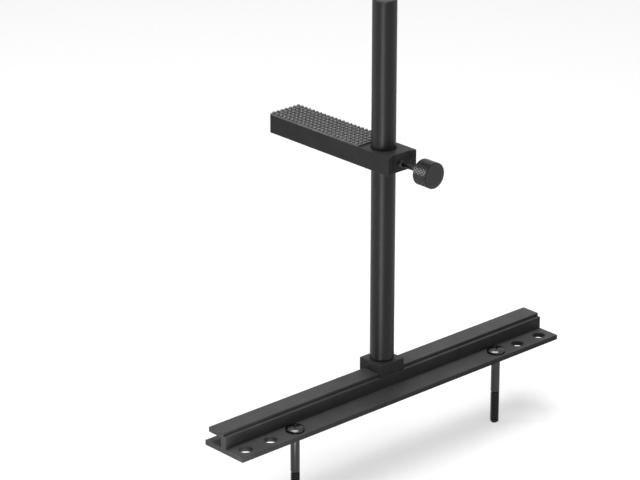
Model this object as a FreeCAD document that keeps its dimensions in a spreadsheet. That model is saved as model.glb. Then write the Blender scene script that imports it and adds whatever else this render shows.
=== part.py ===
import FreeCAD, Part
import math
import os
import re

import Mesh
import Sketcher
from FreeCAD import Placement, Rotation, Vector

# Bracket that props up a heavy board inside a computer.
# An extruded rail is screwed down at its ends. A slider saddles the rail's cap and
# carries a round post. An arm slides and swivels on the post, is locked by a knurled
# thumbscrew and bears its load on a rubber pad.
# Millimetres. The origin is on the rail's underside, at mid length, on the line of the
# screw holes. X runs along the rail, Y from the holes towards the arm's load, Z up.

os.makedirs("parts", exist_ok=True)
doc = FreeCAD.newDocument("support_bracket")

# Driving sizes

SIZES = [
    ("rail_length", 164.0, "length of the rail"),
    ("base_front", 4.85, "hole line to the front edge of the base flange"),
    ("base_back", 16.0, "hole line to the back edge of the base flange"),
    ("base_thick", 2.0, "thickness of the base flange"),
    ("web_face", 4.6, "hole line to the front face of the web"),
    ("web_thick", 2.65, "thickness of the web"),
    ("cap_back", 13.9, "hole line to the back edge of the cap"),
    ("cap_thick", 2.0, "thickness of the cap"),
    ("rail_rise", 8.0, "height of the rail"),
    ("ledge_wide", 1.25, "width of the ledge in the cap's front edge"),
    ("ledge_drop", 1.25, "depth of the ledge below the cap's top"),
    ("rail_round", 0.25, "radius of the rail's long edges"),
    ("hole_first", 52.5, "mid length to the first hole at each end"),
    ("hole_pitch", 12.0, "distance between holes at one end"),
    ("hole_bore", 5.0, "diameter of the holes"),
    ("hole_break", 0.25, "chamfer on the holes"),
    ("slide_gap", 0.1, "running gap between slider and rail"),
    ("fit_gap", 0.05, "radial clearance of turning fits"),
    ("slider_long", 12.0, "length of the slider along the rail"),
    ("slider_at", 1.3, "place of the slider along the rail"),
    ("roof_thick", 3.55, "thickness of the slider above the rail"),
    ("back_wall", 2.6, "thickness of the slider behind the cap"),
    ("hook_reach", 1.5, "reach of the slider's hook under the cap"),
    ("hook_thick", 1.0, "thickness of the hook"),
    ("slider_break", 0.25, "chamfer on the slider's outer edges"),
    ("post_dia", 9.2, "diameter of the post"),
    ("post_tall", 142.0, "length of the post above the slider"),
    ("post_break", 0.35, "chamfer on the post's ends"),
    ("stud_dia", 6.0, "diameter of the post's threaded stud"),
    ("stud_break", 0.5, "chamfer on the stud's tip"),
    ("tip_gap", 0.05, "gap in front of a screw's tip"),
    ("arm_wide", 14.4, "width of the arm"),
    ("arm_tall", 7.2, "height of the arm"),
    ("arm_long", 65.3, "length of the arm"),
    ("arm_front", 10.1, "post axis to the arm's front end"),
    ("arm_rise", 77.6, "slider top to the arm's underside"),
    ("arm_break", 0.2, "chamfer on the arm's outer edges"),
    ("bore_break", 0.35, "chamfer on the arm's bore"),
    ("notch_wide", 10.1, "width of the notch in the arm's front end"),
    ("notch_deep", 0.95, "depth of the notch"),
    ("notch_round", 0.7, "radius of the notch's inner corners"),
    ("clamp_up", 3.2, "arm's underside to the thumbscrew's axis"),
    ("sheet_thick", 0.6, "thickness of the rubber sheet under its studs"),
    ("sheet_inset", 0.1, "rubber sheet's edge inside the arm's edge"),
    ("sheet_start", 6.4, "post axis to the rubber sheet"),
    ("nub_dia", 1.5, "width of a stud of the rubber sheet"),
    ("nub_rise", 0.8, "height of a stud of the rubber sheet"),
    ("nub_pitch", 2.1, "distance between studs"),
    ("thread_dia", 3.0, "diameter of the thumbscrew's thread"),
    ("thread_out", 1.1, "length of thread in front of the notch"),
    ("thread_break", 0.3, "chamfer on the thread's ends"),
    ("neck_dia", 1.9, "diameter of the thumbscrew's neck"),
    ("neck_deep", 4.0, "length of the neck inside the knob"),
    ("knob_stand", 10.2, "arm's front end to the knob"),
    ("knob_dia", 10.0, "diameter of the knob over its knurl"),
    ("knob_long", 6.8, "length of the knob"),
    ("knob_break", 0.25, "chamfer on the knob's ends"),
    ("knurl_count", 36.0, "knurl diamonds round the knob"),
    ("knurl_rows", 12.0, "half diamonds along the knob"),
    ("knurl_deep", 0.2, "depth of the knurl"),
    ("screw_dia", 3.5, "diameter of the rail screws"),
    ("screw_long", 30.0, "length of the rail screws under the head"),
    ("screw_break", 0.6, "chamfer on the screws' tips"),
    ("neck_under", 2.6, "length of the plain neck under the screw heads"),
    ("neck_wide", 2.9, "diameter of that neck"),
    ("head_dia", 7.2, "diameter of the screw heads"),
    ("head_tall", 1.7, "height of the screw heads"),
    ("head_rim", 1.0, "height of the head's upright rim"),
    ("head_crown", 1.1, "width of the sloping ring round the head's top"),
    ("recess_span", 3.6, "length of the head's cross recess"),
    ("recess_wide", 0.8, "width of the head's cross recess"),
    ("recess_deep", 1.1, "depth of the head's cross recess"),
]

sheet = doc.addObject("Spreadsheet::Sheet", "Sizes")
for row, (alias, value, note) in enumerate(SIZES, start=1):
    sheet.set("A%d" % row, note)
    sheet.set("B%d" % row, repr(value))
    sheet.setAlias("B%d" % row, alias)
doc.recompute()

SIZE_NAMES = {alias for alias, value, note in SIZES}

# Places that several pieces share

ledge_back = "(web_face + ledge_wide)"
ledge_floor = "(rail_rise - ledge_drop)"
cap_floor = "(rail_rise - cap_thick)"
slider_wall = "(cap_back + slide_gap)"
slider_back = "(cap_back + slide_gap + back_wall)"
slider_top = "(rail_rise + roof_thick)"
post_line = "((web_face + cap_back + slide_gap + back_wall) / 2)"
arm_floor = "(rail_rise + roof_thick + arm_rise)"
arm_back = "(arm_long - arm_front)"
clamp_height = "(rail_rise + roof_thick + arm_rise + clamp_up)"
knob_face = "(arm_front + knob_stand)"


# Helpers

def bound(text):
    """Expression over the sheet, from one that uses the bare names of the sizes."""
    return re.sub(r"[a-z_]+", lambda m: "Sizes." + m.group() if m.group() in SIZE_NAMES else m.group(), text)


def size(alias):
    """Number that the sheet holds under this name."""
    return float(sheet.get(alias))


def new_body(name):
    """Empty body whose label names the sub-part."""
    body = doc.addObject("PartDesign::Body", name)
    body.Label = name
    return body


def put(item, across="0", along="0", up="0"):
    """Binds the place of a finished sub-part."""
    for axis, text in (("x", across), ("y", along), ("z", up)):
        item.setExpression("Placement.Base." + axis, bound(text))


def new_sketch(body, role, name, lift=None):
    """Sketch on one of the body's origin planes, lifted off it where asked."""
    sketch = body.newObject("Sketcher::SketchObject", name)
    plane = next(item for item in body.Origin.OriginFeatures if item.Role == role)
    sketch.AttachmentSupport = [(plane, "")]
    sketch.MapMode = "FlatFace"
    if lift:
        sketch.setExpression("AttachmentOffset.Base.z", bound(lift))
    return sketch


def pin_point(sketch, item, end, across, along, start):
    """Holds one point of a sketch at two expressions, measured from its origin."""
    for kind, axis, text, value in (("DistanceX", -2, across, start.x), ("DistanceY", -1, along, start.y)):
        if text == "0":
            sketch.addConstraint(Sketcher.Constraint("PointOnObject", item, end, axis))
        else:
            index = sketch.addConstraint(Sketcher.Constraint(kind, -1, 1, item, end, value))
            sketch.setExpression("Constraints[%d]" % index, bound(text))


def outline(sketch, corners):
    """Closed outline of straight lines through corners given as expressions."""
    first = sketch.GeometryCount
    count = len(corners)
    turn = 2 * math.pi / count
    ring = [Vector(10 * math.cos(turn * i), 10 * math.sin(turn * i), 0) for i in range(count)]
    for i in range(count):
        sketch.addGeometry(Part.LineSegment(ring[i], ring[(i + 1) % count]), False)
    for i in range(count):
        sketch.addConstraint(Sketcher.Constraint("Coincident", first + i, 2, first + (i + 1) % count, 1))
    for i, (across, along) in enumerate(corners):
        pin_point(sketch, first + i, 1, across, along, ring[i])


def circle(sketch, across, along, diameter):
    """Circle whose centre and diameter are expressions."""
    start = Vector(5, 5, 0)
    item = sketch.addGeometry(Part.Circle(start, Vector(0, 0, 1), 1), False)
    pin_point(sketch, item, 3, across, along, start)
    index = sketch.addConstraint(Sketcher.Constraint("Diameter", item, 2))
    sketch.setExpression("Constraints[%d]" % index, bound(diameter))


def extrude(body, sketch, name, length, symmetric=False):
    """Pad of a sketch."""
    feature = body.newObject("PartDesign::Pad", name)
    feature.Profile = sketch
    feature.SideType = "Symmetric" if symmetric else "One side"
    feature.setExpression("Length", bound(length))
    doc.recompute()
    return feature


def cut(body, sketch, name, length, reverse=False):
    """Pocket of a sketch, which has to take something away."""
    before = body.Shape.Volume
    feature = body.newObject("PartDesign::Pocket", name)
    feature.Profile = sketch
    feature.Reversed = reverse
    feature.setExpression("Length", bound(length))
    doc.recompute()
    if not body.Shape.Volume < before:
        raise RuntimeError(name + " cuts nothing")
    return feature


def revolve(body, sketch, name):
    """Full turn of a sketch about its own vertical axis."""
    feature = body.newObject("PartDesign::Revolution", name)
    feature.Profile = sketch
    feature.ReferenceAxis = (sketch, ["V_Axis"])
    feature.Angle = 360
    doc.recompute()
    return feature


def dress(body, kind, name, base, amount, wanted):
    """Chamfer or fillet on the edges of a feature that a test picks."""
    feature = body.newObject("PartDesign::" + kind, name)
    edges = enumerate(base.Shape.Edges, start=1)
    feature.Base = (base, ["Edge%d" % index for index, edge in edges if wanted(edge)])
    feature.setExpression("Radius" if kind == "Fillet" else "Size", bound(amount))
    doc.recompute()
    return feature


def runs_along(edge, direction):
    """True for a straight edge that runs along a direction."""
    if not isinstance(edge.Curve, Part.Line):
        return False
    return abs(abs(edge.Curve.Direction.dot(direction)) - 1) < 1e-6


def lies_level(edge, height):
    """True for a level edge at this height."""
    return abs(edge.BoundBox.ZMin - height) < 1e-4 and abs(edge.BoundBox.ZMax - height) < 1e-4


def is_rim(edge, diameter, height):
    """True for a level circle of this diameter at this height."""
    if not isinstance(edge.Curve, Part.Circle):
        return False
    level = abs(edge.Curve.Axis.z) > 0.99 and abs(edge.Curve.Center.z - height) < 1e-4
    return level and abs(edge.Curve.Radius * 2 - diameter) < 1e-4


def is_near(edge, spots, flat):
    """True where the edge's middle, seen without one axis, is at one of the spots."""
    middle = edge.BoundBox.Center
    seen = {"x": (middle.y, middle.z), "z": (middle.x, middle.y)}[flat]
    return any(abs(seen[0] - spot[0]) < 1e-3 and abs(seen[1] - spot[1]) < 1e-3 for spot in spots)


# Rail: one extruded profile, with a web that carries a cap overhanging to the back

rail = new_body("rail")
profile = new_sketch(rail, "YZ_Plane", "rail_profile")
web_back = "web_face + web_thick"
outline(profile, [
    ("-base_front", "0"),
    ("base_back", "0"),
    ("base_back", "base_thick"),
    (web_back, "base_thick"),
    (web_back, cap_floor),
    ("cap_back", cap_floor),
    ("cap_back", "rail_rise"),
    (ledge_back, "rail_rise"),
    (ledge_back, ledge_floor),
    ("web_face", ledge_floor),
    ("web_face", "base_thick"),
    ("-base_front", "base_thick"),
])
bar = extrude(rail, profile, "rail_bar", "rail_length", symmetric=True)

outer_corners = [
    (-size("base_front"), 0),
    (-size("base_front"), size("base_thick")),
    (size("base_back"), 0),
    (size("base_back"), size("base_thick")),
    (size("cap_back"), size("rail_rise") - size("cap_thick")),
    (size("cap_back"), size("rail_rise")),
    (size("web_face") + size("ledge_wide"), size("rail_rise")),
    (size("web_face"), size("rail_rise") - size("ledge_drop")),
]
dress(rail, "Fillet", "rail_rounding", bar, "rail_round",
      lambda edge: runs_along(edge, Vector(1, 0, 0)) and is_near(edge, outer_corners, "x"))

hole_places = ["hole_first", "hole_first + hole_pitch", "hole_first + 2 * hole_pitch"]
drilling = new_sketch(rail, "XY_Plane", "rail_holes_plan")
for place in hole_places:
    for side in ("-", ""):
        circle(drilling, side + "(" + place + ")", "0", "hole_bore")
holes = cut(rail, drilling, "rail_holes", "base_thick", reverse=True)
dress(rail, "Chamfer", "rail_hole_chamfers", holes, "hole_break",
      lambda edge: is_rim(edge, size("hole_bore"), size("base_thick")))

# Slider: saddles the cap, with a lip in the ledge and a hook under the cap's back edge

slider = new_body("slider")
profile = new_sketch(slider, "YZ_Plane", "slider_profile")
lip_back = ledge_back + " - slide_gap"
lip_floor = ledge_floor + " + slide_gap"
hook_front = "cap_back - hook_reach"
hook_top = cap_floor + " - slide_gap"
hook_floor = cap_floor + " - slide_gap - hook_thick"
outline(profile, [
    ("web_face", lip_floor),
    (lip_back, lip_floor),
    (lip_back, "rail_rise"),
    (slider_wall, "rail_rise"),
    (slider_wall, hook_top),
    (hook_front, hook_top),
    (hook_front, hook_floor),
    (slider_back, hook_floor),
    (slider_back, slider_top),
    ("web_face", slider_top),
])
block = extrude(slider, profile, "slider_block", "slider_long", symmetric=True)
slider_roof = size("rail_rise") + size("roof_thick")
slider_faces = [size("web_face"), size("cap_back") + size("slide_gap") + size("back_wall")]
slider_corners = [(side * size("slider_long") / 2, place) for side in (-1, 1) for place in slider_faces]
dress(slider, "Chamfer", "slider_edges", block, "slider_break",
      lambda edge: lies_level(edge, slider_roof)
      or runs_along(edge, Vector(0, 0, 1)) and is_near(edge, slider_corners, "z"))
plan = new_sketch(slider, "XY_Plane", "slider_bore_plan", lift=slider_top)
circle(plan, "0", post_line, "stud_dia + 2 * fit_gap")
cut(slider, plan, "slider_bore", "roof_thick + cap_thick / 2")
put(slider, across="slider_at")

# Post: a round bar that stands on the slider, with a threaded stud that reaches down to
# the rail's cap and locks the slider when the post is screwed home

post = new_body("post")
profile = new_sketch(post, "XZ_Plane", "post_profile")
stud_tip = "-(roof_thick - tip_gap)"
outline(profile, [
    ("0", stud_tip),
    ("stud_dia / 2 - stud_break", stud_tip),
    ("stud_dia / 2", stud_tip + " + stud_break"),
    ("stud_dia / 2", "0"),
    ("post_dia / 2 - post_break", "0"),
    ("post_dia / 2", "post_break"),
    ("post_dia / 2", "post_tall - post_break"),
    ("post_dia / 2 - post_break", "post_tall"),
    ("0", "post_tall"),
])
revolve(post, profile, "post_bar")
put(post, across="slider_at", along=post_line, up=slider_top)

# Arm: a flat bar bored for the post, with a shallow notch in its front end where the
# thumbscrew comes out

arm = new_body("arm")
plan = new_sketch(arm, "XY_Plane", "arm_plan")
notch_floor = "-arm_front + notch_deep"
outline(plan, [
    ("-arm_wide / 2", "-arm_front"),
    ("-notch_wide / 2", "-arm_front"),
    ("-notch_wide / 2", notch_floor),
    ("notch_wide / 2", notch_floor),
    ("notch_wide / 2", "-arm_front"),
    ("arm_wide / 2", "-arm_front"),
    ("arm_wide / 2", arm_back),
    ("-arm_wide / 2", arm_back),
])
bar = extrude(arm, plan, "arm_bar", "arm_tall")
arm_ends = [-size("arm_front"), size("arm_long") - size("arm_front")]
arm_corners = [(side * size("arm_wide") / 2, place) for side in (-1, 1) for place in arm_ends]
notch_corners = [(side * size("notch_wide") / 2, size("notch_deep") - size("arm_front")) for side in (-1, 1)]
rounded = dress(arm, "Fillet", "notch_rounding", bar, "notch_round",
                lambda edge: runs_along(edge, Vector(0, 0, 1)) and is_near(edge, notch_corners, "z"))
dress(arm, "Chamfer", "arm_edges", rounded, "arm_break",
      lambda edge: lies_level(edge, 0) or lies_level(edge, size("arm_tall"))
      or runs_along(edge, Vector(0, 0, 1)) and is_near(edge, arm_corners, "z"))
plan = new_sketch(arm, "XY_Plane", "arm_bore_plan")
circle(plan, "0", "0", "post_dia + 2 * fit_gap")
bore = cut(arm, plan, "arm_bore", "arm_tall", reverse=True)
bore_wide = size("post_dia") + 2 * size("fit_gap")
dress(arm, "Chamfer", "arm_bore_chamfers", bore, "bore_break",
      lambda edge: is_rim(edge, bore_wide, 0) or is_rim(edge, bore_wide, size("arm_tall")))
plan = new_sketch(arm, "XZ_Plane", "arm_clamp_plan")
circle(plan, "0", "clamp_up", "thread_dia + 2 * fit_gap")
cut(arm, plan, "arm_clamp_hole", "arm_front", reverse=True)
put(arm, across="slider_at", along=post_line, up=arm_floor)

# Rubber pad: a sheet on the arm, covered with a square grid of small eight-sided studs

def studded_sheet(wide, long, thick, nub, pitch, rise):
    """Sheet centred on its top edge lines, with as many studs as fit at the pitch."""
    across = int((wide - nub) / pitch + 1e-6) + 1
    along = int((long - nub) / pitch + 1e-6) + 1
    eighths = [math.pi / 8 + i * math.pi / 4 for i in range(9)]
    ring = [Vector(nub / 2 * math.cos(turn), nub / 2 * math.sin(turn), thick) for turn in eighths]
    prism = Part.Face(Part.makePolygon(ring)).extrude(Vector(0, 0, rise))
    studs = [
        prism.translated(Vector(pitch * (i - (across - 1) / 2), pitch * (j - (along - 1) / 2), 0))
        for i in range(across)
        for j in range(along)
    ]
    base = Part.makeBox(wide, long, thick, Vector(-wide / 2, -long / 2, 0))
    return base.multiFuse(studs)


sheet_wide = size("arm_wide") - 2 * size("sheet_inset")
sheet_long = size("arm_long") - size("arm_front") - size("sheet_inset") - size("sheet_start")
rubber_pad = doc.addObject("Part::Feature", "rubber_pad")
rubber_pad.Label = "rubber_pad"
rubber_pad.Shape = studded_sheet(sheet_wide, sheet_long, size("sheet_thick"), size("nub_dia"),
                                 size("nub_pitch"), size("nub_rise"))
sheet_middle = "(sheet_start + arm_long - arm_front - sheet_inset) / 2"
put(rubber_pad, across="slider_at", along=post_line + " + " + sheet_middle, up=arm_floor + " + arm_tall")

# Thumbscrew: a thread that presses on the post, a thin neck and a knurled knob

clamp_screw = new_body("clamp_screw")
profile = new_sketch(clamp_screw, "XY_Plane", "clamp_screw_profile")
tip_at = "-(post_dia / 2 + tip_gap)"
thread_end = "-(arm_front - notch_deep + thread_out)"
neck_end = "-(" + knob_face + " + neck_deep)"
outline(profile, [
    ("0", tip_at),
    ("thread_dia / 2 - thread_break", tip_at),
    ("thread_dia / 2", tip_at + " - thread_break"),
    ("thread_dia / 2", thread_end + " + thread_break"),
    ("thread_dia / 2 - thread_break", thread_end),
    ("neck_dia / 2", thread_end),
    ("neck_dia / 2", neck_end),
    ("0", neck_end),
])
revolve(clamp_screw, profile, "clamp_screw_stem")
put(clamp_screw, across="slider_at", along=post_line, up=clamp_height)


def knurled_solid(radius, length, count, rows, depth, bevel):
    """Cylinder along Z with a diamond knurl: each diamond is a low four-sided pyramid."""
    step = 2 * math.pi / count
    rise = (length - 2 * bevel) / rows

    def point(turns, height, reach):
        return Vector(reach * math.cos(turns * step), reach * math.sin(turns * step), height)

    def crossing(i, j):
        return point(i + (j % 2) / 2, bevel + j * rise, radius - depth)

    def peak(i, j):
        return point(i + (j % 2) / 2 + 0.5, bevel + j * rise, radius)

    facets = []
    for j in range(rows + 1):
        for i in range(count):
            left, right, top = crossing(i, j), crossing(i + 1, j), peak(i, j)
            shift = i + j % 2
            if j < rows:
                above = crossing(shift, j + 1)
                facets += [(left, top, above), (top, right, above)]
            if j > 0:
                below = crossing(shift, j - 1)
                facets += [(below, top, left), (below, right, top)]
    for height, j, up in ((0, 0, False), (length, rows, True)):
        middle = Vector(0, 0, height)
        for i in range(count):
            turn = i + (j % 2) / 2
            rim = [point(turn + half, height, radius - depth - bevel) for half in (0, 0.5, 1)]
            edge = [crossing(i, j), peak(i, j), crossing(i + 1, j)]
            for k in (0, 1):
                bands = [(edge[k], edge[k + 1], rim[k + 1]), (edge[k], rim[k + 1], rim[k])]
                bands.append((rim[k], rim[k + 1], middle))
                facets += bands if up else [(a, c, b) for a, b, c in bands]
    shape = Part.Shape()
    shape.makeShapeFromMesh(Mesh.Mesh(facets).Topology, 1e-4)
    return Part.makeSolid(shape).removeSplitter()


clamp_knob = doc.addObject("Part::Feature", "clamp_knob")
clamp_knob.Label = "clamp_knob"
body_shape = knurled_solid(size("knob_dia") / 2, size("knob_long"), int(size("knurl_count")),
                           int(size("knurl_rows")), size("knurl_deep"), size("knob_break"))
neck_hole = Part.makeCylinder(size("neck_dia") / 2 + size("fit_gap"), size("neck_deep") + size("fit_gap"))
clamp_knob.Shape = body_shape.cut(neck_hole)
clamp_knob.Placement = Placement(Vector(), Rotation(Vector(0, 0, 1), Vector(0, -1, 0)))
put(clamp_knob, across="slider_at", along=post_line + " - " + knob_face, up=clamp_height)


# Rail screws: pan heads with a cross recess, in the first hole at each end

def make_rail_screw(name, across):
    """One long screw that stands in a hole of the rail, head down on the base flange."""
    body = new_body(name)
    profile = new_sketch(body, "XZ_Plane", name + "_profile")
    thread_top = "-neck_under - (screw_dia - neck_wide) / 2"
    outline(profile, [
        ("0", "-screw_long"),
        ("screw_dia / 2 - screw_break", "-screw_long"),
        ("screw_dia / 2", "screw_break - screw_long"),
        ("screw_dia / 2", thread_top),
        ("neck_wide / 2", "-neck_under"),
        ("neck_wide / 2", "0"),
        ("head_dia / 2", "0"),
        ("head_dia / 2", "head_rim"),
        ("head_dia / 2 - head_crown", "head_tall"),
        ("0", "head_tall"),
    ])
    revolve(body, profile, name + "_turned")
    plan = new_sketch(body, "XY_Plane", name + "_recess_plan", lift="head_tall")
    near, far = "recess_wide / 2", "recess_span / 2"
    outline(plan, [
        ("-" + near, "-" + far), (near, "-" + far), (near, "-" + near), (far, "-" + near),
        (far, near), (near, near), (near, far), ("-" + near, far),
        ("-" + near, near), ("-" + far, near), ("-" + far, "-" + near), ("-" + near, "-" + near),
    ])
    cut(body, plan, name + "_recess", "recess_deep")
    put(body, across=across, up="base_thick")
    return body


screw_left = make_rail_screw("screw_left", "-hole_first")
screw_right = make_rail_screw("screw_right", "hole_first")

# Checks and export

doc.recompute()
failed = [item.Name for item in doc.Objects if "Invalid" in item.State or "Error" in item.State]
if failed:
    raise RuntimeError("failed features: " + ", ".join(failed))

nodes = [rail, slider, post, arm, rubber_pad, clamp_screw, clamp_knob, screw_left, screw_right]
for node in nodes:
    shape = node.Shape
    if shape.isNull() or not shape.isValid() or len(shape.Solids) != 1:
        raise RuntimeError(node.Label + " is not one valid solid")

for node in nodes:
    node.Shape.exportStep("parts/%s.step" % node.Label)
    box = node.Shape.BoundBox
    print("%-12s volume %9.2f  x %.2f..%.2f  y %.2f..%.2f  z %.2f..%.2f" % (
        node.Label, node.Shape.Volume, box.XMin, box.XMax, box.YMin, box.YMax, box.ZMin, box.ZMax))
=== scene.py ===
import math

import bmesh
import bpy
from mathutils import Matrix, Vector


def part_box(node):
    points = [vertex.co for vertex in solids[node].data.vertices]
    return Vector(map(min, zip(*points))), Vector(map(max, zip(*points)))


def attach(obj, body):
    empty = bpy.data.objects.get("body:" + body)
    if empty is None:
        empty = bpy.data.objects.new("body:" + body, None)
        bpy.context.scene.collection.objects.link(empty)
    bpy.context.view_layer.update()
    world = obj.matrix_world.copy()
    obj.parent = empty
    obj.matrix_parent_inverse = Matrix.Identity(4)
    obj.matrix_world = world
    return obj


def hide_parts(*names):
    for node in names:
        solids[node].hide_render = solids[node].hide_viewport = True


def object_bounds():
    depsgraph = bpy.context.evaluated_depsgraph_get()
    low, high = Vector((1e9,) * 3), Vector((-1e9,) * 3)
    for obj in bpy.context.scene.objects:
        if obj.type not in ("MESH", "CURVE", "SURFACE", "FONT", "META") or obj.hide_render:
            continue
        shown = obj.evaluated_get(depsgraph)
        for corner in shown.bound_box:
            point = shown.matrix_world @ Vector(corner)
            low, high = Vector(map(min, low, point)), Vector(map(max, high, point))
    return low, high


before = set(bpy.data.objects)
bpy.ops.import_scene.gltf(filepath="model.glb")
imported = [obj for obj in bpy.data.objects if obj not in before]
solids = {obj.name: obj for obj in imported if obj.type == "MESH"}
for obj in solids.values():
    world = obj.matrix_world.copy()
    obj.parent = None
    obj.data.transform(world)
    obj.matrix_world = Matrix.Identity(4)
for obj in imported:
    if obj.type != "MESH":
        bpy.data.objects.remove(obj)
cad_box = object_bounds()

# Rail: one length of extruded aluminium, sawn at both ends and drilled, then bead blasted
# and anodised matte black. It is screwed down through its base flange, and its cap is
# the track that the slider rides on.

MM = 0.001
RAIL_BLACK = (0.046, 0.046, 0.047)
SAWN_AND_PAINTED_LIGHT_BLACK = (0.106, 0.104, 0.104)
BLAST_ROUGHNESS = 0.42
BLAST_GLOSS = 0.07
RAIL_GRAIN = 0.22
DIE_LINES = (40.0, 0.35, 0.35)
DYE_CLOUDS = (9.0, 9.0, 9.0)
SAW_MARKS = (1.0, 3.0, 0.16)
SAWN_SKIN = 0.02


def add(tree, kind, inputs=None, **settings):
    """New node, with its inputs set or linked and its settings made."""
    made = tree.nodes.new(kind)
    for key, value in settings.items():
        setattr(made, key, value)
    for key, value in (inputs or {}).items():
        if isinstance(value, bpy.types.NodeSocket):
            tree.links.new(value, made.inputs[key])
        else:
            made.inputs[key].default_value = value
    return made


def new_finish(name, colour, roughness, gloss):
    """Material with its plain values on the shader's own sockets."""
    finish = bpy.data.materials.new(name)
    finish.use_nodes = True
    shader = finish.node_tree.nodes["Principled BSDF"]
    shader.inputs["Base Color"].default_value = (*colour, 1)
    shader.inputs["Roughness"].default_value = roughness
    shader.inputs["Specular IOR Level"].default_value = gloss
    return finish, finish.node_tree, shader


def spot_on(tree, centre=(0, 0, 0), cell=(1, 1, 1)):
    """Place on the piece, counted from a centre in cells of this size, all in millimetres."""
    place = add(tree, "ShaderNodeTexCoord")
    return add(tree, "ShaderNodeMapping", {
        "Vector": place.outputs["Object"],
        "Location": [value * MM for value in centre],
        "Scale": [value * MM for value in cell],
    }, vector_type="TEXTURE").outputs["Vector"]


def speckle(tree, cell, detail=3.0):
    """Noise from 0 to 1 with one bump to a cell."""
    spot = spot_on(tree, cell=cell)
    noise = add(tree, "ShaderNodeTexNoise", {"Vector": spot, "Scale": 1.0, "Detail": detail})
    return noise.outputs["Fac"]


def spread(tree, value, low, high, start=0.3, end=0.7):
    """Stretches a noise between two levels."""
    return add(tree, "ShaderNodeMapRange", {
        "Value": value, "From Min": start, "From Max": end, "To Min": low, "To Max": high,
    }).outputs["Result"]


def blend_colours(tree, share, first, second):
    """Colour that goes from the first to the second; either may be a socket."""
    mix = add(tree, "ShaderNodeMix", {0: share}, data_type="RGBA")
    for slot, colour in ((6, first), (7, second)):
        if isinstance(colour, bpy.types.NodeSocket):
            tree.links.new(colour, mix.inputs[slot])
        else:
            mix.inputs[slot].default_value = (*colour, 1)
    return mix.outputs[2]


def shade(colour, factor):
    """The same colour, lighter or darker."""
    return tuple(value * factor for value in colour)


def mottled(tree, noise, colour, dark, light):
    """The colour times a factor that goes from dark to light with a noise."""
    return blend_colours(tree, spread(tree, noise, 0.0, 1.0), shade(colour, dark), shade(colour, light))


def rubbed_edges(tree, reach, full):
    """Share from 0 to full along the sharp edges of a piece, where handling thins its finish."""
    rounded = add(tree, "ShaderNodeBevel", {"Radius": reach * MM}, samples=4)
    face = add(tree, "ShaderNodeNewGeometry")
    match = add(tree, "ShaderNodeVectorMath", {
        0: rounded.outputs["Normal"], 1: face.outputs["Normal"],
    }, operation="DOT_PRODUCT")
    return spread(tree, match.outputs["Value"], 0.0, full, start=0.985, end=0.8)


def raise_surface(tree, shader, heights):
    """Bump made of (height socket, distance in millimetres) pairs, laid over each other."""
    normal = None
    for height, distance in heights:
        inputs = {"Height": height, "Distance": distance * MM, "Strength": 1.0}
        if normal:
            inputs["Normal"] = normal
        normal = add(tree, "ShaderNodeBump", inputs).outputs["Normal"]
    tree.links.new(normal, shader.inputs["Normal"])


def blasted_finish(name, colour, grain_wide, lines_cell):
    """Anodised aluminium with a blasted grain that has painted sparkle, faint lines from die or mill,
    and cloudy dye.
    """
    finish, tree, shader = new_finish(name, colour, BLAST_ROUGHNESS, BLAST_GLOSS)
    grain = speckle(tree, (grain_wide,) * 3)
    lines = speckle(tree, lines_cell, detail=4.0)
    dyed = mottled(tree, speckle(tree, DYE_CLOUDS), colour, 0.82, 1.15)
    # Lighter flecks on the grain are painted sparkle of the blasted surface, not a colour of the metal.
    grain_and_painted_sparkle = blend_colours(tree, spread(tree, grain, 0.0, 0.35), dyed, shade(colour, 1.7))
    rubbed = blend_colours(tree, rubbed_edges(tree, 0.1, 0.2), grain_and_painted_sparkle, shade(colour, 2.0))
    tree.links.new(rubbed, shader.inputs["Base Color"])
    uneven = add(tree, "ShaderNodeMath", {
        0: spread(tree, lines, BLAST_ROUGHNESS - 0.05, BLAST_ROUGHNESS + 0.04),
        1: spread(tree, grain, -0.03, 0.05),
    }, operation="ADD")
    tree.links.new(uneven.outputs["Value"], shader.inputs["Roughness"])
    raise_surface(tree, shader, [(grain, 0.02), (lines, 0.006)])
    return finish, tree, shader, rubbed


def dress(node, finish):
    """Gives a CAD solid its finish."""
    solid = solids[node]
    solid.data.materials.clear()
    solid.data.materials.append(finish)


rail_finish, tree, shader, blasted = blasted_finish("anodised_rail", RAIL_BLACK, RAIL_GRAIN, DIE_LINES)
# Both sawn ends are coloured lighter than the sides. This is partly a coarser matte sawn finish and
# partly painted light on the end faces.
rail_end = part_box("rail")[1].x
place = add(tree, "ShaderNodeTexCoord")
along = add(tree, "ShaderNodeSeparateXYZ", {"Vector": place.outputs["Object"]})
reach = add(tree, "ShaderNodeMath", {0: along.outputs["X"]}, operation="ABSOLUTE")
sawn = add(tree, "ShaderNodeMath", {
    0: reach.outputs["Value"], 1: rail_end - SAWN_SKIN * MM,
}, operation="GREATER_THAN")
sawn_and_painted_light_tone = mottled(tree, speckle(tree, SAW_MARKS), SAWN_AND_PAINTED_LIGHT_BLACK, 0.8, 1.25)
ends = blend_colours(tree, sawn.outputs["Value"], blasted, sawn_and_painted_light_tone)
tree.links.new(ends, shader.inputs["Base Color"])
dress("rail", rail_finish)

# Rail screws: two long steel machine screws, plated black, with low coned heads and a cross
# recess, which hold the rail down through its first holes. Only the lower half of the shank
# is threaded, and it is turned down under the head.

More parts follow.
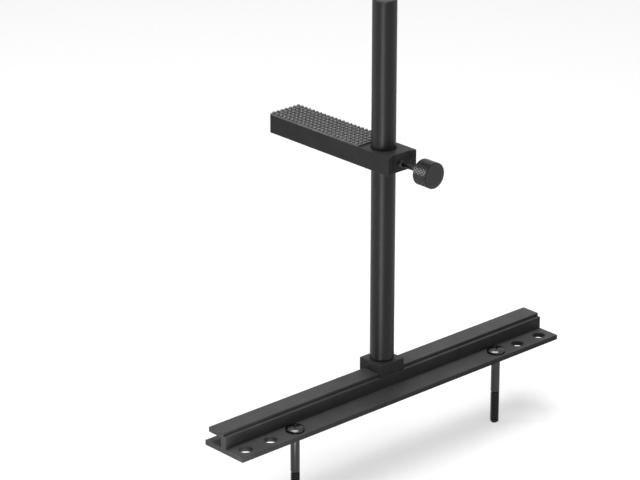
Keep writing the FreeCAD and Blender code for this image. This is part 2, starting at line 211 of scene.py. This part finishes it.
SCREW_RADIUS = 1.75
SCREW_TIP = 0.6
SCREW_PITCH = 0.8
SCREW_THREADED = 13.0
SCREW_RUNOUT = 0.5
SCREW_UNDER_HEAD = 30.0
SCREW_NECK_RADIUS = 1.45
SCREW_NECK_LONG = 2.6
THREAD_DEEP = 0.6
THREAD_STEPS = 28
HEAD_RADIUS = 3.6
HEAD_TALL = 1.7
HEAD_BREAK = 0.1
HEAD_SHOULDER = 0.85
HEAD_ROUND = 0.12
CONE_FOOT = 3.5
CONE_TOP = 3.05
CONE_TALL = 1.36
CROWN_FLAT = 0.5
RECESS_SPAN = 3.6
RECESS_WIDE = 0.85
RECESS_DEEP = 1.2
RECESS_TAPER = 0.55
CUTTER_PROUD = 1.0
PLATED_BLACK = (0.052, 0.052, 0.054)


def follow_profile(mesh, loop, profile):
    """Extrudes a loop of edges round Z through (radius, height) pairs, and returns the last."""
    for radius, height in profile:
        made = bmesh.ops.extrude_edge_only(mesh, edges=loop)["geom"]
        for vertex in (item for item in made if isinstance(item, bmesh.types.BMVert)):
            vertex.co = Vector((*(vertex.co.xy.normalized() * radius), height))
        loop = [item for item in made if isinstance(item, bmesh.types.BMEdge) and item.is_boundary]
        loop = [edge for edge in loop if all(abs(vertex.co.z - height) < 1e-6 for vertex in edge.verts)]
    return loop


def close_loop(mesh, loop):
    """Closes a loop of edges round Z with one face, its corners in the order of their turn."""
    corners = {vertex for edge in loop for vertex in edge.verts}
    mesh.faces.new(sorted(corners, key=lambda vertex: math.atan2(vertex.co.y, vertex.co.x)))


def thread_loops(mesh, radius, pitch, low, high):
    """Screw thread round Z between two heights, and the loops of edges at its two ends."""
    root = radius - THREAD_DEEP * pitch
    start = low - 2 * pitch
    ridge = [(root, 0.0), (root, 0.12), (radius, 0.45), (radius, 0.62), (root, 0.95), (root, 1.0)]
    points = [mesh.verts.new((across, 0, start + share * pitch)) for across, share in ridge]
    edges = [mesh.edges.new(pair) for pair in zip(points, points[1:])]
    turns = math.ceil((high - start) / pitch) + 1
    bmesh.ops.spin(mesh, geom=points + edges, cent=(0, 0, 0), axis=(0, 0, 1),
                   dvec=(0, 0, pitch / THREAD_STEPS), angle=2 * math.pi * turns,
                   steps=THREAD_STEPS * turns, use_merge=False)
    bmesh.ops.remove_doubles(mesh, verts=mesh.verts, dist=1e-4)
    loops = []
    for height, side in ((low, -1), (high, 1)):
        whole = mesh.verts[:] + mesh.edges[:] + mesh.faces[:]
        cut = bmesh.ops.bisect_plane(mesh, geom=whole, dist=1e-5, plane_co=(0, 0, height),
                                     plane_no=(0, 0, side), clear_outer=True)["geom_cut"]
        loops.append([item for item in cut if isinstance(item, bmesh.types.BMEdge)])
    return loops


def new_object(name, mesh):
    """Object in the scene that holds this mesh, which is used up."""
    data = bpy.data.meshes.new(name)
    mesh.to_mesh(data)
    mesh.free()
    made = bpy.data.objects.new(name, data)
    bpy.context.scene.collection.objects.link(made)
    return made


def new_piece(name, mesh, place, finish, body, smooth=35.0):
    """Piece made of a mesh drawn in millimetres round its own origin, set in place on its body."""
    bmesh.ops.transform(mesh, matrix=place @ Matrix.Scale(MM, 4), verts=mesh.verts)
    bmesh.ops.recalc_face_normals(mesh, faces=mesh.faces)
    piece = new_object(name, mesh)
    piece.data.shade_smooth()
    piece.data.set_sharp_from_angle(angle=math.radians(smooth))
    piece.data.materials.append(finish)
    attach(piece, body)
    return piece


def cross_recess(top):
    """Tapered cross that a screwdriver fits, as a shape to cut away."""
    mesh = bmesh.new()
    for wide, long in ((RECESS_WIDE, RECESS_SPAN), (RECESS_SPAN, RECESS_WIDE)):
        made = bmesh.ops.create_cube(mesh, size=1.0)["verts"]
        bmesh.ops.scale(mesh, vec=(wide, long, RECESS_DEEP + CUTTER_PROUD), verts=made)
        bmesh.ops.translate(mesh, vec=(0, 0, top + (CUTTER_PROUD - RECESS_DEEP) / 2), verts=made)
        low = [vertex for vertex in made if vertex.co.z < top - RECESS_DEEP / 2]
        bmesh.ops.scale(mesh, vec=(RECESS_TAPER, RECESS_TAPER, 1), verts=low)
    return new_object("cross_cutter", mesh)


def arc(radius_out, radius_in, low, high, count):
    """Points of a quarter round from an upright wall in to a flat top."""
    turns = [math.pi / 2 * step / count for step in range(count + 1)]
    wide, tall = radius_out - radius_in, high - low
    return [(radius_in + wide * math.cos(turn), low + tall * math.sin(turn)) for turn in turns]


def rail_screw_mesh():
    """One screw, tip at the origin and head up, with its cross recess cut."""
    mesh = bmesh.new()
    tip, shank = thread_loops(mesh, SCREW_RADIUS, SCREW_PITCH, SCREW_TIP, SCREW_THREADED)
    close_loop(mesh, follow_profile(mesh, tip, [(SCREW_RADIUS - SCREW_TIP, 0.0)]))
    head = SCREW_UNDER_HEAD
    neck_foot = head - SCREW_NECK_LONG
    taper = SCREW_RADIUS - SCREW_NECK_RADIUS
    shoulder = head + HEAD_SHOULDER
    top = follow_profile(mesh, shank, [
        (SCREW_RADIUS, SCREW_THREADED + SCREW_RUNOUT),
        (SCREW_RADIUS, neck_foot - taper),
        (SCREW_NECK_RADIUS, neck_foot),
        (SCREW_NECK_RADIUS, head),
        (HEAD_RADIUS - HEAD_BREAK, head),
        (HEAD_RADIUS, head + HEAD_BREAK),
        *arc(HEAD_RADIUS, CONE_FOOT, shoulder, shoulder + HEAD_ROUND, 3),
        (CONE_TOP, head + CONE_TALL),
        (CONE_TOP - HEAD_ROUND, head + CONE_TALL + HEAD_ROUND / 3),
        (CROWN_FLAT, head + HEAD_TALL),
    ])
    close_loop(mesh, top)
    bmesh.ops.recalc_face_normals(mesh, faces=mesh.faces)
    blank = new_object("uncut_screw", mesh)
    cutter = cross_recess(head + HEAD_TALL)
    cut = blank.modifiers.new("recess", "BOOLEAN")
    cut.object = cutter
    cut.operation = "DIFFERENCE"
    cut.solver = "EXACT"
    cut.use_self = True
    ready = bpy.context.evaluated_depsgraph_get()
    whole = bmesh.new()
    whole.from_mesh(blank.evaluated_get(ready).to_mesh())
    bpy.data.objects.remove(blank)
    bpy.data.objects.remove(cutter)
    return whole


screw_finish, tree, shader = new_finish("black_plated_steel", PLATED_BLACK, 0.28, 0.5)
shader.inputs["Metallic"].default_value = 1.0
fine = speckle(tree, (0.3, 0.3, 0.3))
worn = blend_colours(tree, rubbed_edges(tree, 0.08, 0.5), PLATED_BLACK, shade(PLATED_BLACK, 2.0))
tree.links.new(worn, shader.inputs["Base Color"])
tree.links.new(spread(tree, fine, 0.16, 0.28), shader.inputs["Roughness"])
raise_surface(tree, shader, [(fine, 0.004)])

for node, turn in (("screw_left", 38.0), ("screw_right", 61.0)):
    low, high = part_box(node)
    foot = Matrix.Translation(((low.x + high.x) / 2, (low.y + high.y) / 2, low.z))
    turned = Matrix.Rotation(math.radians(turn), 4, "Z")
    screw = new_piece(node + "_plated", rail_screw_mesh(), foot @ turned, screw_finish,
                      "rail")
    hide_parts(node)

# Slider: an extruded and milled aluminium block that saddles the rail's cap. Its threaded
# middle takes the post's stud. It is blasted and anodised like the rail.

SLIDER_BLACK = (0.033, 0.033, 0.034)
MILLED_GRAIN = 0.2
SLIDER_LINES = (12.0, 0.4, 0.4)

slider_finish = blasted_finish("anodised_slider", SLIDER_BLACK, MILLED_GRAIN, SLIDER_LINES)[0]
dress("slider", slider_finish)

# Post: an aluminium bar turned on a lathe, with a satin black finish. It is screwed into
# the slider and its stud locks the slider on the rail.

POST_BLACK = (0.01, 0.01, 0.0104)
POST_ROUGHNESS = 0.42
POST_GLOSS = 0.25
LATHE_LINES = (3.0, 3.0, 0.12)
HANDLING_MARKS = (6.0, 6.0, 18.0)

post_finish, tree, shader = new_finish("satin_black_post", POST_BLACK, POST_ROUGHNESS, POST_GLOSS)
lathe = speckle(tree, LATHE_LINES)
handled = mottled(tree, speckle(tree, HANDLING_MARKS), POST_BLACK, 0.85, 1.15)
worn = blend_colours(tree, rubbed_edges(tree, 0.3, 0.6), handled, shade(POST_BLACK, 2.5))
tree.links.new(worn, shader.inputs["Base Color"])
uneven = spread(tree, lathe, POST_ROUGHNESS - 0.04, POST_ROUGHNESS + 0.04)
tree.links.new(uneven, shader.inputs["Roughness"])
raise_surface(tree, shader, [(lathe, 0.0015)])
dress("post", post_finish)

# Arm: a flat aluminium bar bored for the post, with a shallow notch milled in its front end
# for the thumbscrew. It is blasted and anodised like the rail.

ARM_BLACK = (0.026, 0.026, 0.027)
ARM_LINES = (0.4, 30.0, 0.4)

arm_finish = blasted_finish("anodised_arm", ARM_BLACK, MILLED_GRAIN, ARM_LINES)[0]
dress("arm", arm_finish)

# Rubber pad: a moulded sheet of black rubber with a square grid of round studs, stuck on
# the arm so that what lies on it can't slip or get scratched.

RUBBER_BLACK = (0.066, 0.066, 0.068)
SHEET_THICK = 0.6
SHEET_EDGE = 0.12
STUD_RADIUS = 0.78
STUD_DRAFT = 0.03
STUD_SUNK = 0.05
STUD_WALL = 0.12
STUD_FLAT = 0.16
STUD_TALL = 0.8
STUD_PITCH = 2.1
STUD_SIDES = 12

low, high = (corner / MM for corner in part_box("rubber_pad"))
middle = (low + high) / 2
wide, long = high.x - low.x, high.y - low.y
mesh = bmesh.new()
sheet = bmesh.ops.create_cube(mesh, size=1.0)["verts"]
bmesh.ops.scale(mesh, vec=(wide, long, SHEET_THICK), verts=sheet)
bmesh.ops.translate(mesh, vec=(0, 0, SHEET_THICK / 2), verts=sheet)
upper = [edge for edge in mesh.edges if any(vertex.co.z > 0 for vertex in edge.verts)]
bmesh.ops.bevel(mesh, geom=upper, offset=SHEET_EDGE, segments=2, profile=0.5,
                affect="EDGES", material=-1)

across = int((wide - 2 * STUD_RADIUS) / STUD_PITCH) + 1
along = int((long - 2 * STUD_RADIUS) / STUD_PITCH) + 1
sheet_faces = set(mesh.faces)
stud = bmesh.ops.create_circle(mesh, segments=STUD_SIDES, radius=STUD_RADIUS)["verts"]
bmesh.ops.translate(mesh, vec=(0, 0, SHEET_THICK - STUD_SUNK), verts=stud)
rim = [edge for edge in mesh.edges if edge.verts[0] in stud and edge.verts[1] in stud]
crown = arc(STUD_RADIUS - STUD_DRAFT, STUD_FLAT, SHEET_THICK + STUD_WALL, SHEET_THICK + STUD_TALL, 4)
close_loop(mesh, rim)
close_loop(mesh, follow_profile(mesh, rim, [(STUD_RADIUS, SHEET_THICK), *crown]))
stud_faces = [face for face in mesh.faces if face not in sheet_faces]
stud_parts = list(dict.fromkeys(
    item for face in stud_faces for item in (face, *face.edges, *face.verts)))
for column in range(across):
    for row in range(along):
        copy = bmesh.ops.duplicate(mesh, geom=stud_parts)["geom"]
        corners = [item for item in copy if isinstance(item, bmesh.types.BMVert)]
        shift = ((column - (across - 1) / 2) * STUD_PITCH, (row - (along - 1) / 2) * STUD_PITCH, 0)
        bmesh.ops.translate(mesh, vec=shift, verts=corners)
bmesh.ops.delete(mesh, geom=stud_faces, context="FACES")

rubber_finish, tree, shader = new_finish("moulded_rubber", RUBBER_BLACK, 0.3, 0.5)
dust = speckle(tree, (2.5, 2.5, 2.5), detail=4.0)
pores = speckle(tree, (0.12, 0.12, 0.12), detail=2.0)
tree.links.new(mottled(tree, dust, RUBBER_BLACK, 0.85, 1.3), shader.inputs["Base Color"])
tree.links.new(spread(tree, dust, 0.24, 0.38), shader.inputs["Roughness"])
raise_surface(tree, shader, [(pores, 0.006)])
pad_foot = Matrix.Translation((middle.x * MM, middle.y * MM, low.z * MM))
pad = new_piece("studded_pad", mesh, pad_foot, rubber_finish, "arm", smooth=40.0)
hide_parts("rubber_pad")

# Thumbscrew stem: a turned steel pin with a fine thread that presses on the post, and a thin
# neck pressed into the knob. It is plated dark.

STEM_RADIUS = 1.5
STEM_TIP = 0.3
STEM_PITCH = 0.5
STEM_THREADED = 5.6
STEM_SHOULDER = 0.35
STEM_NECK_RADIUS = 0.95
STEM_NECK_ROUND = 0.15
STEM_STEEL = (0.036, 0.036, 0.037)

low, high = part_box("clamp_screw")
stem_long = (high.y - low.y) / MM
turn_forward = Matrix.Rotation(math.radians(90), 4, "X")
stem_foot = Matrix.Translation(((low.x + high.x) / 2, high.y, (low.z + high.z) / 2))
mesh = bmesh.new()
tip, shoulder = thread_loops(mesh, STEM_RADIUS, STEM_PITCH, STEM_TIP, STEM_THREADED - STEM_TIP)
close_loop(mesh, follow_profile(mesh, tip, [(STEM_RADIUS - STEM_TIP, 0.0)]))
close_loop(mesh, follow_profile(mesh, shoulder, [
    (STEM_RADIUS - STEM_SHOULDER, STEM_THREADED),
    (STEM_NECK_RADIUS + STEM_NECK_ROUND, STEM_THREADED),
    (STEM_NECK_RADIUS, STEM_THREADED + STEM_NECK_ROUND),
    (STEM_NECK_RADIUS, stem_long),
]))
stem_finish, tree, shader = new_finish("dark_plated_stem", STEM_STEEL, 0.32, 0.5)
shader.inputs["Metallic"].default_value = 1.0
turning = speckle(tree, (1.5, 0.1, 1.5), detail=2.0)
worn = blend_colours(tree, rubbed_edges(tree, 0.05, 0.5), STEM_STEEL, shade(STEM_STEEL, 2.0))
tree.links.new(worn, shader.inputs["Base Color"])
tree.links.new(spread(tree, turning, 0.26, 0.4), shader.inputs["Roughness"])
raise_surface(tree, shader, [(turning, 0.004)])
stem = new_piece("clamp_stem", mesh, stem_foot @ turn_forward, stem_finish, "clamp_screw")
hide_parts("clamp_screw")

# Thumbscrew knob: turned from aluminium bar, with a rolled diamond knurl between two
# chamfers and a faced end, then anodised black. Handling has rubbed the knurl's tips to
# the metal. It is pressed on the stem's neck.

KNOB_RADIUS = 5.0
KNOB_CHAMFER = 0.25
KNURL_AROUND = 30
KNURL_ROWS = 7
KNURL_FLANK = 0.09
KNURL_DEEP = 0.14
KNOB_BORE = 0.98
KNOB_BORE_DEEP = 4.1
FACE_BREAK = 0.05
FACE_RINGS = (2.2, 0.4)
FACE_SLOT = 1
TIP_SLOT = 2
NEAR = 0.01
KNURL_BLACK = (0.014, 0.014, 0.015)
TIP_METAL = (0.05, 0.05, 0.052)
KNOB_BLACK = (0.05, 0.05, 0.051)
METAL_GRAIN = (0.3, 0.3, 0.3)

low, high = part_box("clamp_knob")
knob_long = (high.y - low.y) / MM
knob_foot = Matrix.Translation(((low.x + high.x) / 2, high.y, (low.z + high.z) / 2))
mesh = bmesh.new()
root = KNOB_RADIUS - KNURL_DEEP
rise = (knob_long - 2 * KNOB_CHAMFER) / KNURL_ROWS
line = [mesh.verts.new((root, 0, KNOB_CHAMFER + row * rise)) for row in range(KNURL_ROWS + 1)]
edges = [mesh.edges.new(pair) for pair in zip(line, line[1:])]
bmesh.ops.spin(mesh, geom=line + edges, cent=(0, 0, 0), axis=(0, 0, 1), angle=2 * math.pi,
               steps=2 * KNURL_AROUND, use_merge=True)
mesh.verts.ensure_lookup_table()


def knurl_place(vertex):
    """Half diamonds round and along the knob to a vertex."""
    around = round(math.atan2(vertex.co.y, vertex.co.x) / (math.pi / KNURL_AROUND))
    return around, round((vertex.co.z - KNOB_CHAMFER) / rise)


grooves = [vertex for vertex in mesh.verts if sum(knurl_place(vertex)) % 2 == 0]
crests = [vertex for vertex in mesh.verts if sum(knurl_place(vertex)) % 2]
bmesh.ops.connect_verts(mesh, verts=grooves)
inner = [vertex for vertex in crests if 0 < knurl_place(vertex)[1] < KNURL_ROWS]
outer = [vertex for vertex in crests if vertex not in inner]
half_edges = [edge for vertex in outer for edge in vertex.link_edges if not edge.is_boundary]
bmesh.ops.dissolve_edges(mesh, edges=half_edges, use_verts=False)
bmesh.ops.dissolve_verts(mesh, verts=inner)
bmesh.ops.recalc_face_normals(mesh, faces=mesh.faces)
diamonds = mesh.faces[:]
bmesh.ops.inset_individual(mesh, faces=diamonds, thickness=KNURL_FLANK, depth=KNURL_DEEP,
                           use_even_offset=True)
for crest in diamonds:
    crest.material_index = TIP_SLOT
open_ends = [[edge for edge in mesh.edges
              if edge.is_boundary and abs(edge.verts[0].co.z - height) < 1e-4]
             for height in (KNOB_CHAMFER, knob_long - KNOB_CHAMFER)]
face_radius = root - KNOB_CHAMFER
close_loop(mesh, follow_profile(mesh, open_ends[0], [
    (face_radius, 0.0), (KNOB_BORE, 0.0), (KNOB_BORE, KNOB_BORE_DEEP)]))
close_loop(mesh, follow_profile(mesh, open_ends[1], [
    (face_radius + FACE_BREAK, knob_long - FACE_BREAK),
    (face_radius - 2 * FACE_BREAK, knob_long),
    *((ring, knob_long) for ring in FACE_RINGS),
]))

for face in mesh.faces:
    heights = [vertex.co.z for vertex in face.verts]
    if max(heights) < NEAR or min(heights) > knob_long - FACE_BREAK - NEAR:
        face.material_index = FACE_SLOT

knurl_finish, tree, shader = new_finish("anodised_knurl", KNURL_BLACK, 0.3, 0.22)
metal = speckle(tree, METAL_GRAIN)
tree.links.new(mottled(tree, metal, KNURL_BLACK, 0.8, 1.3), shader.inputs["Base Color"])
tree.links.new(spread(tree, metal, 0.24, 0.36), shader.inputs["Roughness"])
raise_surface(tree, shader, [(metal, 0.004)])

tip_finish, tree, shader = new_finish("rubbed_knurl_tips", TIP_METAL, 0.26, 0.5)
shader.inputs["Metallic"].default_value = 1.0
scuffs = speckle(tree, (0.5, 0.5, 0.5))
tree.links.new(mottled(tree, scuffs, TIP_METAL, 0.6, 1.4), shader.inputs["Base Color"])
tree.links.new(spread(tree, scuffs, 0.22, 0.3), shader.inputs["Roughness"])

face_finish, tree, shader = new_finish("anodised_knob_face", KNOB_BLACK, 0.34, 0.16)
face_middle = ((low.x + high.x) / 2 / MM, low.y / MM, (low.z + high.z) / 2 / MM)
facing_lines = add(tree, "ShaderNodeTexWave", {
    "Vector": spot_on(tree, centre=face_middle),
    "Scale": 2.2,
    "Distortion": 0.4,
    "Detail": 2.0,
    "Detail Scale": 1.5,
}, wave_type="RINGS", rings_direction="Y", wave_profile="SIN").outputs["Fac"]
metal = speckle(tree, METAL_GRAIN)
tree.links.new(mottled(tree, metal, KNOB_BLACK, 0.85, 1.15), shader.inputs["Base Color"])
tree.links.new(spread(tree, metal, 0.28, 0.4), shader.inputs["Roughness"])
raise_surface(tree, shader, [(metal, 0.004), (facing_lines, 0.002)])

knob = new_piece("knurled_knob", mesh, knob_foot @ turn_forward, knurl_finish,
                 "clamp_knob", smooth=40.0)
knob.data.materials.append(face_finish)
knob.data.materials.append(tip_finish)
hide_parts("clamp_knob")

# Floor: a pale table top under the screw tips, seen as plain white but for the bracket's
# own soft shadow.

FLOOR_ACROSS = 3.0
FLOOR_TONE = 0.45
FLOOR_BOUNCE = 0.1
FLOOR_LIFT = 0.55

mesh = bmesh.new()
bmesh.ops.create_grid(mesh, x_segments=1, y_segments=1, size=FLOOR_ACROSS / 2)
bmesh.ops.translate(mesh, vec=(0, 0, cad_box[0].z), verts=mesh.verts)
floor = new_object("floor", mesh)
floor_finish, tree, shader = new_finish("white_table", (FLOOR_TONE,) * 3, 0.9, 0.0)
floor.data.materials.append(floor_finish)


def seen_directly(tree):
    """1 for what the camera, a reflection or a clear material sees, 0 for bounced light."""
    path = add(tree, "ShaderNodeLightPath").outputs
    mirrored = add(tree, "ShaderNodeMath", {
        0: path["Is Camera Ray"], 1: path["Is Glossy Ray"],
    }, operation="MAXIMUM")
    return add(tree, "ShaderNodeMath", {
        0: mirrored.outputs["Value"], 1: path["Is Transmission Ray"],
    }, operation="MAXIMUM").outputs["Value"]


seen = seen_directly(tree)
top_tone = blend_colours(tree, seen, (FLOOR_BOUNCE,) * 3, (FLOOR_TONE,) * 3)
tree.links.new(top_tone, shader.inputs["Base Color"])
lift = add(tree, "ShaderNodeMath", {0: seen, 1: FLOOR_LIFT}, operation="MULTIPLY")
shader.inputs["Emission Color"].default_value = (1, 1, 1, 1)
tree.links.new(lift.outputs["Value"], shader.inputs["Emission Strength"])

# Studio: a white room with a broad lamp overhead, a wide flat one at the front for glints, a
# weak one at the right and a tall narrow one at the back left that lights up the knurl. Strips
# low at the left front, each a near end, a far end and a width, draw the line down the post.

ROOM_LIGHT = 0.09
STRIP_TURN = -57
STRIP_GLOW = 13.0
STRIP_FOOT = (0.0013, 0.0106, -0.024)
LOW_STRIPS = ((0.1, 0.28, 0.04), (0.28, 0.48, 0.09), (0.48, 0.96, 0.17))

room = bpy.data.worlds.new("room")
bpy.context.scene.world = room
room.use_nodes = True
tree = room.node_tree
backing = tree.nodes["Background"]
backing.inputs["Color"].default_value = (1, 1, 1, 1)
strength = add(tree, "ShaderNodeMapRange", {
    "Value": seen_directly(tree), "To Min": ROOM_LIGHT, "To Max": 1.0,
})
tree.links.new(strength.outputs["Result"], backing.inputs["Strength"])


def soft_lamp(name, azimuth, elevation, distance, wide, tall, power, aim):
    """Flat lamp that looks at a point; azimuth 0 stands in front, on -Y, and 90 on +X."""
    data = bpy.data.lights.new(name, "AREA")
    data.shape = "RECTANGLE"
    data.size = wide
    data.size_y = tall
    data.energy = power
    lamp = bpy.data.objects.new(name, data)
    turn, lean = math.radians(azimuth), math.radians(elevation)
    away = Vector((math.sin(turn) * math.cos(lean), -math.cos(turn) * math.cos(lean), math.sin(lean)))
    lamp.location = Vector(aim) + away * distance
    lamp.rotation_euler = away.to_track_quat("Z", "Y").to_euler()
    bpy.context.scene.collection.objects.link(lamp)
    return lamp


soft_lamp("overhead", azimuth=150, elevation=79, distance=1.1, wide=0.62, tall=0.62, power=12.4,
          aim=(0, 0.02, 0.05))
soft_lamp("front_top", azimuth=-44, elevation=66, distance=0.8, wide=0.5, tall=0.07, power=1.9,
          aim=(0, 0.01, 0.03))
soft_lamp("right_fill", azimuth=40, elevation=8, distance=1.0, wide=0.35, tall=0.35, power=1.0,
          aim=(0, 0, 0.06))
soft_lamp("back_left", azimuth=-135, elevation=14, distance=0.6, wide=0.08, tall=0.42, power=1.0,
          aim=(0, -0.01, 0.09))
for start, end, wide in LOW_STRIPS:
    long = end - start
    strip = soft_lamp("low_strip", azimuth=STRIP_TURN, elevation=0, distance=(start + end) / 2,
                      wide=wide, tall=long, power=STRIP_GLOW * math.pi * wide * long, aim=STRIP_FOOT)
    strip.rotation_euler = (math.pi, 0, math.radians(STRIP_TURN))
    strip.visible_camera = False

# Camera: where the photograph was taken from. Its place, turn and lens were worked out from
# the rail's holes.

CAMERA_PLACE = (-0.69924, -0.72258, 0.46437)
CAMERA_TILT = 21.774
CAMERA_TURN = -42.371
CAMERA_LENS = 164.49
SENSOR_WIDE = 36.0
CLIP_START = 0.05

lens = bpy.data.cameras.new("camera")
lens.lens = CAMERA_LENS
lens.sensor_width = SENSOR_WIDE
lens.clip_start = CLIP_START
camera = bpy.data.objects.new("camera", lens)
camera.location = CAMERA_PLACE
camera.rotation_euler = (math.radians(90 - CAMERA_TILT), 0, math.radians(CAMERA_TURN))
bpy.context.scene.collection.objects.link(camera)
bpy.context.scene.camera = camera
bpy.context.scene.view_settings.view_transform = "Standard"

bpy.context.view_layer.update()
